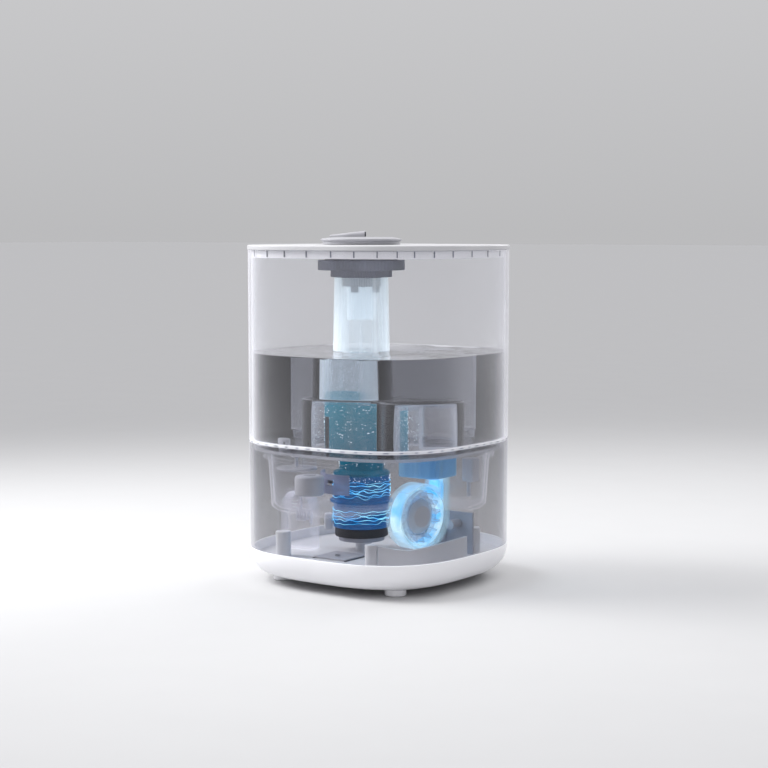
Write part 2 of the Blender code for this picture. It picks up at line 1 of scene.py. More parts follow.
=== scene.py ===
"""Looks of the cool mist humidifier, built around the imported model.

Shapes are drawn in millimetres in the model's own frame, +Z up and -Y to the front, and turned into
metres as each mesh is made. Levels that the model already holds are read from its nodes.
"""
from random import Random
from math import acos, atan2, cos, degrees, pi, radians, sin, sqrt, tan

import bmesh
import bpy
from mathutils import Matrix, Vector, noise


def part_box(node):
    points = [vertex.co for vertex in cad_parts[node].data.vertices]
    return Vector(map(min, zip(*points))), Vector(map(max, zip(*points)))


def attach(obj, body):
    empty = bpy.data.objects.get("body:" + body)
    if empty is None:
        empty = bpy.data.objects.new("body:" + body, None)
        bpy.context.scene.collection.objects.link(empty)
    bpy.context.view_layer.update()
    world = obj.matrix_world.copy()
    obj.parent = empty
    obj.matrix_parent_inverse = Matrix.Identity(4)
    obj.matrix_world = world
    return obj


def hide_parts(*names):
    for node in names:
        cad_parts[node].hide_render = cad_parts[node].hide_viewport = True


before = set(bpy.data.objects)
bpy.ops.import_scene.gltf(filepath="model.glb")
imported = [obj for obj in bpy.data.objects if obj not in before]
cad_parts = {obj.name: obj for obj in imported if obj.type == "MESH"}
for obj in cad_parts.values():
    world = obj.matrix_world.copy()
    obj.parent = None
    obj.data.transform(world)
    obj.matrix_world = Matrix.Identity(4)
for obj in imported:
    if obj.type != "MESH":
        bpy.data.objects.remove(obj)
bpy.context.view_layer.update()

MM = 0.001
SQUARENESS = 3.0    # power of the rounded-square outline
RING = 160          # points round a squircle
ROUND = 96          # points round a circle
GAP = 0.3           # clearance between neighbouring pieces
SHARP = 38          # degrees between two faces above which their edge stays sharp


def level(node, top=True):
    """Highest or lowest level of a node, in millimetres."""
    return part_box(node)[1 if top else 0].z / MM


# levels
FOOT_Z = level("foot_1")
PAN_Z = level("base_pan", False)
RIM_Z = level("base_housing", False)
SEAM_LOW_Z = level("base_housing")
DECK_Z = level("access_plate", False) - GAP
TRAY_Z = 61.0
TRAY_RIM_Z = level("water_tray")
TANK_UNDER_Z = level("tank_floor", False)
TANK_FLOOR_Z = TANK_UNDER_Z + 2.0
FLANGE_Z = level("tank_wall", False) - GAP
DOME_Z = level("tank_floor")
WATER_Z = 194.0
TUBE_TOP_Z = level("mist_tube")
SKIRT_Z = level("lid_skirt", False)
WALL_TOP_Z = level("tank_wall")
LID_Z = level("lid_plate", False)
LID_TOP_Z = level("lid_plate")
DIAL_TOP_Z = level("nozzle_dial")

# plan: half widths, radii and centres
HALF_LID = 100.0
HALF_TANK = 99.6
HALF_SEAM = 99.4
HALF_RIM = 99.0
WALL = 2.4
MIST = (-19.0, 0.0)
FLOAT = (-40.2, -46.2)
VALVE = (-49.0, -52.5)
POSTS = ((-54.5, -64.0), (-55.0, 55.0), (66.0, 47.0))
UPSTAND_TOP = ((-55.0, 40.6), (-45.0, 38.1), (-38.3, 36.2), (-29.1, 37.0), (-17.5, 38.0), (-3.6, 38.4),
               (17.0, 38.8))
BAY = (26.0, 17.0)
DOME_LOBES = ((MIST, 35.0), ((42.0, -5.0), 27.0))
DOME_MIDDLE = (8.0, -2.0)
DOME_BLEND = 14.0
DRUM = (-67.0, -25.0)
DRUM_HALF = 16.0
DRUM_THICK = 14.0
DRUM_TOP_Z = level("intake_drum")
CHAMBER_R = 24.5
DOME_HOLE_R = 21.5

# camera, fitted to the photo: degrees round from the front and down, place and sideways shift in metres.
# The nozzle is set square to it.
PHOTO_TURN = 35.75
PHOTO_DOWN = 4.95
PHOTO_FROM = Vector((0.8898, -1.2360, 0.2982))
PHOTO_SHIFT = 0.004
LENS = 83.7

# room: far off, a floor this pale is as bright as the horizon, when SKY_RISE is (3 - FLOOR) / (2 FLOOR)
FLOOR = 0.56
HORIZON = 0.50
SKY_RISE = 2.179
LAMP_SPREAD = 75

# blower: its own frame has +X along the housing's face, +Y up and +Z out of the air inlet
BLOWER = Vector((52.0, -18.0, 59.4))
SHAFT = Vector((cos(radians(-11.25)), sin(radians(-11.25)), 0.0))
BLOWER_FRAME = (Matrix.Translation(BLOWER)
                @ Matrix((Vector((-SHAFT.y, SHAFT.x, 0.0)), Vector((0, 0, 1)), SHAFT)).transposed().to_4x4())
VOLUTE_R = 27.8
DUCT_LOW = 17.5
DUCT_TOP = 32.0


# ---------------------------------------------------------------- materials

def new_material(name):
    """A new material, its tree, its main shader and the piece's own coordinates."""
    material = bpy.data.materials.new(name)
    material.use_nodes = True
    tree = material.node_tree
    shader = tree.nodes["Principled BSDF"]
    place = tree.nodes.new("ShaderNodeTexCoord").outputs["Object"]
    return material, tree, shader, place


def noise_of(tree, place, scale, detail=3.0, stretch=(1.0, 1.0, 1.0)):
    """Noise on the piece's own coordinates, scale in cells per metre."""
    mapping = tree.nodes.new("ShaderNodeMapping")
    mapping.inputs["Scale"].default_value = stretch
    tree.links.new(place, mapping.inputs["Vector"])
    node = tree.nodes.new("ShaderNodeTexNoise")
    node.inputs["Scale"].default_value = scale
    node.inputs["Detail"].default_value = detail
    tree.links.new(mapping.outputs["Vector"], node.inputs["Vector"])
    return node.outputs["Fac"]


def span(tree, value, low, high, source=(0.3, 0.7)):
    """Map a value's source range onto low to high."""
    node = tree.nodes.new("ShaderNodeMapRange")
    node.inputs["From Min"].default_value = source[0]
    node.inputs["From Max"].default_value = source[1]
    node.inputs["To Min"].default_value = low
    node.inputs["To Max"].default_value = high
    tree.links.new(value, node.inputs["Value"])
    return node.outputs["Result"]


def blend_colour(tree, fac, a, b):
    """Mix two colours, each a tuple or a socket."""
    node = tree.nodes.new("ShaderNodeMix")
    node.data_type = "RGBA"
    tree.links.new(fac, node.inputs["Factor"])
    for socket, colour in (("A", a), ("B", b)):
        target = [s for s in node.inputs if s.name == socket and s.type == "RGBA"][0]
        if isinstance(colour, tuple):
            target.default_value = (*colour, 1.0)
        else:
            tree.links.new(colour, target)
    return [s for s in node.outputs if s.type == "RGBA"][0]


def bumped(tree, place, shader, scale, strength, distance):
    """Small relief from noise, scale in cells per metre and distance in metres."""
    bump = tree.nodes.new("ShaderNodeBump")
    bump.inputs["Strength"].default_value = strength
    bump.inputs["Distance"].default_value = distance
    tree.links.new(noise_of(tree, place, scale, 2.0), bump.inputs["Height"])
    tree.links.new(bump.outputs["Normal"], shader.inputs["Normal"])


def moulded(name, colour, rough, vary, grain=1600.0, bump=0.12, metallic=0.0, stretch=(1.0, 1.0, 1.0)):
    """Opaque moulded plastic, rubber or metal: broad shade, fine grain in its gloss and surface."""
    material, tree, shader, place = new_material(name)
    light = tuple(min(1.0, c * (1 + vary)) for c in colour)
    dark = tuple(c * (1 - vary) for c in colour)
    broad = span(tree, noise_of(tree, place, 22.0, stretch=stretch), 0.0, 1.0)
    tree.links.new(blend_colour(tree, broad, dark, light), shader.inputs["Base Color"])
    fine = noise_of(tree, place, grain / 4, 4.0, stretch)
    tree.links.new(span(tree, fine, rough - 0.06, rough + 0.08), shader.inputs["Roughness"])
    shader.inputs["Metallic"].default_value = metallic
    bumped(tree, place, shader, grain, bump, 0.00012)
    return material


def maths(tree, operation, *values):
    """One clamped arithmetic node on sockets or numbers."""
    node = tree.nodes.new("ShaderNodeMath")
    node.operation = operation
    node.use_clamp = True
    for socket, value in zip(node.inputs, values):
        if isinstance(value, (int, float)):
            socket.default_value = value
        else:
            tree.links.new(value, socket)
    return node.outputs[0]


def mixed(tree, amount, first, second):
    """Mix of two shaders."""
    node = tree.nodes.new("ShaderNodeMixShader")
    tree.links.new(amount, node.inputs[0])
    tree.links.new(first.outputs[0], node.inputs[1])
    tree.links.new(second.outputs[0], node.inputs[2])
    return node


def clear(name, colour, face, edge, tint, power, rough, glow=None, streaks=None, absorb=None, bend=None,
          flat=0.0, fade=None):
    """Clear plastic: see-through, with a sheen that grows edge on and a haze that thickens edge on.

    Both run on the angle alone, so each side of a wall acts the same. Lamps pass straight through.
    The haze rises from face to edge by power, and tint colours what shows through.
    Glow is (red, green, blue, strength) of a painted light: the plastic gives off light, though it is no
    lamp.
    Fade is (low, high, colour): the painted glow turns to colour down to low.
    Streaks is (cells per metre, strength) of upright bands in the haze.
    Absorb is (red, green, blue, density) of the volume, and bend is its index of refraction.
    Flat thins haze and sheen on level faces.
    """
    material, tree, shader, place = new_material(name)
    facing = tree.nodes.new("ShaderNodeLayerWeight")
    facing.inputs["Blend"].default_value = 0.5
    angle = facing.outputs["Facing"]
    cloud = span(tree, noise_of(tree, place, 14.0), 0.85, 1.15)
    haze = span(tree, maths(tree, "POWER", angle, power), face, edge, (0.0, 1.0))
    haze = maths(tree, "MULTIPLY", haze, cloud)
    dark = tuple(c * 0.93 for c in colour)
    shade = blend_colour(tree, span(tree, noise_of(tree, place, 30.0), 0.0, 1.0), dark, colour)
    if streaks:
        cells, strength = streaks
        bands = noise_of(tree, place, cells, 2.0, (1.0, 1.0, 0.03))
        haze = maths(tree, "ADD", haze, span(tree, bands, 0.0, strength, (0.5, 0.68)))
    tree.links.new(shade, shader.inputs["Base Color"])
    gloss = span(tree, noise_of(tree, place, 260.0), rough - 0.03, rough + 0.05)
    tree.links.new(gloss, shader.inputs["Roughness"])
    bumped(tree, place, shader, 120.0, 0.05, 0.0002)
    # The glow is painted light: emission from a part that is no lamp.
    if glow:
        shader.inputs["Emission Color"].default_value = (*glow[:3], 1.0)
        shader.inputs["Emission Strength"].default_value = glow[3]
    if fade:
        low, high, below = fade
        height = tree.nodes.new("ShaderNodeSeparateXYZ")
        tree.links.new(place, height.inputs[0])
        rise = span(tree, height.outputs["Z"], 0.0, 1.0, (low * MM, high * MM))
        tree.links.new(blend_colour(tree, rise, below, glow[:3]), shader.inputs["Emission Color"])
    through = tree.nodes.new("ShaderNodeBsdfRefraction" if bend else "ShaderNodeBsdfTransparent")
    through.inputs["Color"].default_value = (*tint, 1.0)
    if bend:
        through.inputs["IOR"].default_value = bend
        through.inputs["Roughness"].default_value = 0.0
    sheen = tree.nodes.new("ShaderNodeBsdfGlossy")
    sheen.inputs["Roughness"].default_value = rough
    face_on, edge_on = 0.012, 0.95 if bend else 0.42
    shine = span(tree, maths(tree, "POWER", angle, 4.0), face_on, edge_on, (0.0, 1.0))
    if flat:
        upright = tree.nodes.new("ShaderNodeSeparateXYZ")
        tree.links.new(tree.nodes.new("ShaderNodeTexCoord").outputs["Normal"], upright.inputs[0])
        tilt = maths(tree, "MULTIPLY", upright.outputs["Z"], upright.outputs["Z"])
        keep = span(tree, tilt, 1.0, 1.0 - flat, (0.5, 0.95))
        haze, shine = (maths(tree, "MULTIPLY", part, keep) for part in (haze, shine))
    pane = mixed(tree, shine, through, sheen)
    whole = mixed(tree, haze, pane, shader)
    lamps = tree.nodes.new("ShaderNodeBsdfTransparent")
    pale = tuple(0.9 + 0.1 * c for c in tint)
    lamps.inputs["Color"].default_value = (*pale, 1.0)
    rays = tree.nodes.new("ShaderNodeLightPath")
    surface = mixed(tree, rays.outputs["Is Shadow Ray"], whole, lamps)
    output = [n for n in tree.nodes if n.type == "OUTPUT_MATERIAL"][0]
    tree.links.new(surface.outputs[0], output.inputs["Surface"])
    if absorb:
        volume = tree.nodes.new("ShaderNodeVolumeAbsorption")
        volume.inputs["Color"].default_value = (*absorb[:3], 1.0)
        volume.inputs["Density"].default_value = absorb[3]
        tree.links.new(volume.outputs[0], output.inputs["Volume"])
    return material


def lit(name, dim, bright, strength, cells):
    """Surface that glows though it is no lamp, a painted light, its glow drifting between two colours."""
    material, tree, shader, place = new_material(name)
    drift = span(tree, noise_of(tree, place, cells), 0.0, 1.0, (0.4, 0.6))
    drift = blend_colour(tree, drift, dim, bright)
    tree.links.new(drift, shader.inputs["Base Color"])
    tree.links.new(drift, shader.inputs["Emission Color"])
    shader.inputs["Emission Strength"].default_value = strength
    tree.links.new(span(tree, noise_of(tree, place, 300.0), 0.25, 0.4), shader.inputs["Roughness"])
    bumped(tree, place, shader, 700.0, 0.1, 0.0001)
    return material


# Every glow given to a clear plastic below is painted light, since none of these parts is a lamp. The tray's
# and the drum's strong glow paints bright lines along their edges, and the teal riser's glow fades to a dark
# blue towards its foot, a painted shade.
LOOKS = {
    "white": moulded("white_plastic", (0.78, 0.78, 0.82), 0.34, 0.03, 1600.0, 0.06),
    # Paler than the white plastic: on the deck, in the shade inside the base, this is painted light; the same
    # look colours the outside of the pan and the feet.
    "pan": moulded("pan_plastic", (0.88, 0.88, 0.91), 0.36, 0.015, 1600.0, 0.03),
    "lid": moulded("lid_plastic", (0.56, 0.56, 0.58), 0.36, 0.03, 1600.0, 0.08),
    "dial": moulded("dial_plastic", (0.40, 0.40, 0.43), 0.34, 0.03, 1600.0, 0.08),
    # Its own dark blue-grey, with strong upright streaks that are painted highlights down the seat's flutes.
    "slate": moulded("slate_plastic", (0.17, 0.185, 0.24), 0.40, 0.42, stretch=(1.0, 1.0, 0.05)),
    # Dark strip, joint and blocks; on the spout's mouth it is painted shade.
    "dark": moulded("dark_marks_and_painted_shade", (0.05, 0.05, 0.065), 0.5, 0.15),
    "rubber": moulded("seal_rubber", (0.022, 0.022, 0.03), 0.6, 0.2, 900.0, 0.25),
    "grey": moulded("grey_plastic", (0.58, 0.58, 0.63), 0.38, 0.06),
    "board": moulded("circuit_board", (0.50, 0.50, 0.56), 0.45, 0.20, 700.0, 0.3),
    "steel": moulded("plated_steel", (0.55, 0.55, 0.58), 0.28, 0.05, 500.0, 0.1, 1.0, (1.0, 1.0, 8.0)),
    "tank": clear("tank_clear", (0.95, 0.95, 1.0), 0.032, 1.0, (0.985, 0.985, 0.99), 4.0, 0.06,
                  glow=(0.85, 0.85, 0.95, 0.12)),
    "floor": clear("tank_floor_clear", (0.90, 0.90, 0.95), 0.01, 1.0, (0.97, 0.97, 0.975), 3.2, 0.07,
                   streaks=(60.0, 0.08)),
    "tube": clear("tube_clear", (0.80, 0.83, 0.86), 0.17, 0.95, (0.98, 0.99, 1.0), 1.7, 0.05,
                  glow=(0.75, 0.92, 1.0, 0.30), streaks=(60.0, 0.26)),
    "housing": clear("housing_clear", (0.80, 0.80, 0.84), 0.0, 0.95, (0.75, 0.75, 0.76), 6.0, 0.06,
                     glow=(0.8, 0.8, 0.9, 0.15)),
    "tray": clear("tray_clear", (0.92, 0.92, 0.96), 0.005, 0.72, (0.97, 0.97, 0.975), 6.5, 0.07,
                  glow=(0.8, 0.8, 0.9, 0.80), flat=0.6),
    "milky": clear("milky_clear", (0.74, 0.74, 0.78), 0.50, 0.95, (0.95, 0.95, 0.96), 1.6, 0.14),
    "fan": clear("fan_clear", (0.70, 0.74, 0.82), 0.10, 0.92, (0.95, 0.96, 0.98), 2.0, 0.10),
    "teal": clear("teal_clear", (0.001, 0.12, 0.19), 0.86, 0.98, (0.10, 0.50, 0.60), 1.5, 0.16,
                  streaks=(50.0, 0.12), glow=(0.0, 0.34, 0.46, 0.62), fade=(88.0, 150.0, (0.0, 0.10, 0.17))),
    "blue": clear("blue_clear", (0.008, 0.13, 0.34), 0.66, 0.96, (0.20, 0.50, 0.82), 1.6, 0.08,
                  glow=(0.01, 0.20, 0.50, 0.25)),
    "sky": clear("sky_clear", (0.36, 0.60, 0.80), 0.45, 0.92, (0.60, 0.82, 0.96), 1.6, 0.10,
                 streaks=(70.0, 0.4), glow=(0.20, 0.55, 0.90, 0.15)),
    "ring": clear("volute_clear", (0.85, 0.93, 0.98), 0.05, 0.95, (0.95, 0.98, 0.99), 1.7, 0.05,
                  glow=(0.45, 0.85, 1.0, 0.42)),
    "water": clear("water", (0.66, 0.66, 0.70), 0.0, 0.50, (0.98, 0.98, 0.985), 3.5, 0.03,
                   absorb=(0.30, 0.32, 0.38, 9.5), bend=1.33),
    "drum": clear("drum_clear", (0.92, 0.92, 0.96), 0.015, 1.0, (0.97, 0.97, 0.975), 2.3, 0.07,
                  glow=(0.8, 0.8, 0.9, 0.80)),
    "seam": clear("seam_clear", (0.90, 0.90, 0.94), 0.55, 1.0, (0.97, 0.97, 0.98), 1.2, 0.06),
    "collar": clear("collar_clear", (0.46, 0.48, 0.62), 0.50, 0.97, (0.90, 0.90, 0.94), 1.4, 0.16),
    # The droplets, the water streaks and the air path glow: painted light.
    "drop": lit("droplet", (0.75, 0.90, 0.95), (0.95, 1.0, 1.0), 1.1, 40.0),
    "streak": lit("lit_streak", (0.03, 0.45, 0.90), (0.40, 0.95, 1.0), 1.5, 60.0),
    "glow": lit("lit_air", (0.12, 0.58, 1.0), (0.80, 0.98, 1.0), 0.95, 55.0),
}


# ---------------------------------------------------------------- outlines

def around(centre, radius, angle):
    """Plan point at a radius and angle from a centre."""
    return centre[0] + radius * cos(angle), centre[1] + radius * sin(angle)


def squircle(half, z, count=RING, start=0.0, end=2 * pi):
    """Rounded square of a half width, all round or from start to end."""
    full = abs(end - start - 2 * pi) < 1e-9
    steps = count if full else count - 1
    points = []
    for i in range(count):
        a = start + (end - start) * i / steps
        r = half / (abs(cos(a)) ** SQUARENESS + abs(sin(a)) ** SQUARENESS) ** (1 / SQUARENESS)
        points.append(Vector((r * cos(a), r * sin(a), z)))
    return points


def circle(centre, radius, z, count=ROUND):
    return [Vector((*around(centre, radius, 2 * pi * i / count), z)) for i in range(count)]


def dome_ring(inset, z):
    """Outline of two lobes with a smooth waist, drawn in by inset."""
    points = []
    for i in range(RING):
        a = 2 * pi * i / RING
        near, far = 0.0, 90.0
        while far - near > 0.001:
            r = (near + far) / 2
            x, y = around(DOME_MIDDLE, r, a)
            p, q = (sqrt((x - c[0]) ** 2 + (y - c[1]) ** 2) - size for c, size in DOME_LOBES)
            mix = max(DOME_BLEND - abs(p - q), 0.0) / DOME_BLEND
            inside = min(p, q) - mix * mix * DOME_BLEND / 4 + inset < 0
            near, far = (r, far) if inside else (near, r)
        points.append(Vector((*around(DOME_MIDDLE, near, a), z)))
    return points


def rounded(points, radius, closed=True, steps=3):
    """A profile with each corner turned into a small curve, where it isn't nearly straight."""
    out = []
    last = len(points) - 1
    for i, point in enumerate(points):
        p = Vector(point)
        if not closed and i in (0, last):
            out.append(tuple(p))
            continue
        a, b = Vector(points[i - 1]) - p, Vector(points[(i + 1) % len(points)]) - p
        bend = a.angle(b)
        if bend > radians(165):
            out.append(tuple(p))
            continue
        reach = min(radius / tan(bend / 2), 0.45 * a.length, 0.45 * b.length)
        start, end = p + a.normalized() * reach, p + b.normalized() * reach
        for k in range(steps + 1):
            t = k / steps
            out.append(tuple(start * (1 - t) ** 2 + p * 2 * t * (1 - t) + end * t * t))
    return out


# ---------------------------------------------------------------- shapes

def as_object(name, shape, look, sharp=SHARP):
    """Turn a shape in millimetres into an object in metres."""
    bmesh.ops.recalc_face_normals(shape, faces=shape.faces)
    bmesh.ops.scale(shape, vec=(MM, MM, MM), verts=shape.verts)
    mesh = bpy.data.meshes.new(name)
    shape.to_mesh(mesh)
    shape.free()
    mesh.shade_smooth()
    mesh.set_sharp_from_angle(angle=radians(sharp))
    obj = bpy.data.objects.new(name, mesh)
    bpy.context.scene.collection.objects.link(obj)
    mesh.materials.append(LOOKS[look])
    return obj


def skin(name, rings, look, closed=True, matrix=None, sharp=SHARP):
    """Skin over rings of equal count. Closed returns to the first ring, otherwise the ends are capped."""
    shape = bmesh.new()
    rows = [[shape.verts.new(p) for p in ring] for ring in rings]
    pairs = zip(rows, rows[1:] + rows[:1]) if closed else zip(rows, rows[1:])
    for low, high in pairs:
        for i in range(len(low)):
            j = (i + 1) % len(low)
            shape.faces.new((low[i], low[j], high[j], high[i]))
    if not closed:
        shape.faces.new(rows[0])
        shape.faces.new(rows[-1])
    if matrix:
        bmesh.ops.transform(shape, matrix=matrix, verts=shape.verts)
    return as_object(name, shape, look, sharp)


def shell(name, profile, look, radius=0.5, closed=True):
    """Squircle shell from (half width, height) pairs."""
    return skin(name, [squircle(h, z) for h, z in rounded(profile, radius, closed)], look, closed)


def lathe(name, profile, look, centre=(0.0, 0.0), radius=0.4, closed=True, matrix=None, count=ROUND,
          flutes=None):
    """Turned shape from (radius, height) pairs.

    Flutes are (count, depth, lowest level, highest level, least radius).
    """
    rings = []
    for r, z in rounded(profile, radius, closed):
        ring = circle(centre, r, z, count)
        if flutes and flutes[2] < z < flutes[3] and r > flutes[4]:
            for i, p in enumerate(ring):
                a = 2 * pi * i / count
                wave = flutes[1] * (0.5 + 0.5 * cos(a * flutes[0]))
                p.x, p.y = around(centre, r - wave, a)
        rings.append(ring)
    return skin(name, rings, look, closed, matrix)


def rod(name, centre, radius, low, high, look, edge=0.5, count=48, matrix=None):
    profile = [(radius - edge, low), (radius, low + edge), (radius, high - edge), (radius - edge, high)]
    return lathe(name, profile, look, centre, edge, closed=False, matrix=matrix, count=count)


def block(name, low, high, look, edge=0.0, turn=0.0, matrix=None):
    """Box between two corners, then turned by degrees about its own upright axis."""
    shape = bmesh.new()
    bmesh.ops.create_cube(shape, size=1.0)
    bmesh.ops.scale(shape, vec=Vector(high) - Vector(low), verts=shape.verts)
    if edge:
        bmesh.ops.bevel(shape, geom=list(shape.edges), offset=edge, segments=3, profile=0.5, affect="EDGES")
    bmesh.ops.rotate(shape, matrix=Matrix.Rotation(radians(turn), 3, "Z"), verts=shape.verts)
    bmesh.ops.translate(shape, vec=(Vector(low) + Vector(high)) / 2, verts=shape.verts)
    if matrix:
        bmesh.ops.transform(shape, matrix=matrix, verts=shape.verts)
    return as_object(name, shape, look)


def plate(name, outline, low, high, look, edge=0.0, matrix=None):
    """Flat outline of (x, y) points from low to high, its edges rounded."""
    shape = bmesh.new()
    rows = [[shape.verts.new((x, y, z)) for x, y in outline] for z in (low, high)]
    count = len(outline)
    for i in range(count):
        j = (i + 1) % count
        shape.faces.new((rows[0][i], rows[0][j], rows[1][j], rows[1][i]))
    caps = [shape.faces.new(rows[0]), shape.faces.new(rows[1])]
    if edge:
        rims = {e for cap in caps for e in cap.edges}
        bmesh.ops.bevel(shape, geom=list(rims), offset=edge, segments=2, profile=0.5, affect="EDGES")
    if matrix:
        bmesh.ops.transform(shape, matrix=matrix, verts=shape.verts)
    return as_object(name, shape, look)


def boolean(obj, tools, operation):
    """Apply Booleans and drop the tools."""
    for tool in tools:
        step = obj.modifiers.new(tool.name, "BOOLEAN")
        step.operation = operation
        step.solver = "EXACT"
        step.object = tool
    bpy.context.view_layer.update()
    made = bpy.data.meshes.new_from_object(obj.evaluated_get(bpy.context.evaluated_depsgraph_get()))
    obj.modifiers.clear()
    obj.data = made
    made.set_sharp_from_angle(angle=radians(SHARP))
    for tool in tools:
        bpy.data.objects.remove(tool, do_unlink=True)
    return obj


def wear(obj, body, slot, *nodes):
    """Ride on a body and stand for CAD nodes, which are hidden. The slot is not used."""
    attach(obj, body)
    if nodes:
        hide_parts(*nodes)
    return obj


def repaint(look, *nodes):
    """Give CAD nodes that stay a look from this script."""
    for node in nodes:
        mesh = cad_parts[node].data
        mesh.materials.clear()
        mesh.materials.append(LOOKS[look])


# ---------------------------------------------------------------- lid and nozzle

def lid():
    edge = rounded([(HALF_LID, LID_Z), (HALF_LID, LID_TOP_Z), (94.0, LID_TOP_Z)], 1.3, closed=False, steps=5)
    rings = [squircle(h, z) for h, z in edge]
    rings += [circle(MIST, 32.2, LID_TOP_Z, RING), circle(MIST, 31.5, LID_TOP_Z - 0.6, RING),
              circle(MIST, 31.5, LID_Z, RING)]
    wear(skin("lid_panel", rings, "lid"), "lid", "white", "lid_plate")

    skirt = [(96.5, SKIRT_Z), (96.6, LID_Z - GAP), (94.6, LID_Z - GAP), (94.6, SKIRT_Z)]
    # The skirt takes the lighter pan look: painted light against the lid's shadow.
    wear(shell("lid_skirt_band", skirt, "pan"), "lid", "white", "lid_skirt")
    ribs()

    seat = [(31.0, 285.0), (31.0, 272.0), (37.3, 272.0), (37.3, 263.5), (26.4, 263.5), (26.4, 257.6),
            (17.0, 257.6), (17.0, 249.5), (15.0, 249.5), (15.0, 259.6), (24.0, 261.0), (28.9, 266.0),
            (28.9, 285.0)]
    rings = lathe("nozzle_seat_rings", seat, "slate", MIST, 0.5, count=288,
                  flutes=(72, 0.5, 249.0, 272.5, 16.0))
    wear(rings, "lid", "slate", "nozzle_seat")
    turn = radians(PHOTO_TURN)
    along, toward = Vector((cos(turn), sin(turn), 0)), Vector((sin(turn), -cos(turn), 0))
    for i, (right, half) in enumerate(((-8.0, 3.2), (18.0, 3.0))):
        at = Vector((*MIST, 0)) + along * right * 0.7 + toward * 11.5
        clip = block(f"seat_clip_{i + 1}", (at.x - half, at.y - 1.1, 244.5), (at.x + half, at.y + 1.1, 250.5),
                     "slate", 0.5, PHOTO_TURN)
        wear(clip, "lid", "slate")
    sleeve = [(12.4, 256.0), (12.4, 221.0), (11.0, 221.0), (11.0, 256.0)]
    wear(lathe("drip_sleeve_tube", sleeve, "tube", MIST, 0.3), "lid", "clear", "drip_sleeve")


def stud(shape, angle, half, z, size):
    """Add a small block that lies along the squircle at a plan angle."""
    before, at, after = squircle(half, z, 3, radians(angle - 0.5), radians(angle + 0.5))
    way = (after - before).normalized()
    turned = Matrix((way, Vector((way.y, -way.x, 0)), Vector((0, 0, 1)))).transposed().to_4x4()
    turned.translation = at
    made = bmesh.ops.create_cube(shape, size=1.0)["verts"]
    bmesh.ops.scale(shape, vec=size, verts=made)
    bmesh.ops.transform(shape, matrix=turned, verts=made)


def ribs():
    """Short upright ribs on the skirt: fourteen seen, the same turned half round, and two more."""
    seen = (-128.8, -116.8, -105.2, -91.7, -77.3, -65.4, -55.0, -46.6, -39.1, -29.4, -17.8, -2.6, 11.8, 24.7)
    unseen = [a + 180.0 for a in seen] + [38.0, 218.0]
    shape = bmesh.new()
    for angle in (*seen, *unseen):
        stud(shape, angle, 96.6, (SKIRT_Z + LID_Z) / 2 + 0.2, (0.9, 1.1, 5.0))
    wear(as_object("skirt_ribs", shape, "slate"), "lid", "slate")


def nozzle():
    dial = [(9.0, 288.0), (9.0, DIAL_TOP_Z), (26.0, DIAL_TOP_Z), (32.6, DIAL_TOP_Z - 1.2),
            (34.7, DIAL_TOP_Z - 1.5), (34.7, 289.0), (33.8, 288.0),
            (33.0, 288.0), (33.0, 285.6), (28.3, 285.6), (28.3, 270.0), (26.6, 270.0), (26.6, 288.0)]
    wear(lathe("nozzle_disc", dial, "dial", MIST, 0.5), "nozzle", "white", "nozzle_dial")
    foot = DIAL_TOP_Z + GAP
    height = level("nozzle_spout") - foot
    rows = []
    steps = 14
    for i in range(steps + 1):
        t = i / steps
        along = -27.0 + 30.0 * t
        half = 8.5 + 4.5 * min(1.0, t * 2.2)
        tall = 1.3 + (height - 1.3) * t ** 0.9
        section = []
        for shrink in (0.0, 1.1):
            arch = []
            for k in range(17):
                a = pi * k / 16
                wide = (half - shrink) * (1 if cos(a) >= 0 else -1) * abs(cos(a)) ** 0.45
                arch.append(Vector((along, wide, foot + max(tall - shrink, 0.15) * sin(a) ** 0.55)))
            section += arch if shrink == 0 else arch[::-1]
        rows.append(section)
    turn = Matrix.Translation((*MIST, 0.0)) @ Matrix.Rotation(radians(PHOTO_TURN), 4, "Z")
    spout = skin("spout_hood", rows, "dial", closed=False, matrix=turn)
    wear(spout, "nozzle", "white", "nozzle_spout")
    # A dark plate at the spout's mouth: painted shade inside the opening.
    wear(block("spout_mouth", (2.4, -9.5, foot), (4.0, 9.5, foot + height - 0.9), "dark", 0.5, matrix=turn),
         "nozzle", "white")


# ---------------------------------------------------------------- tank

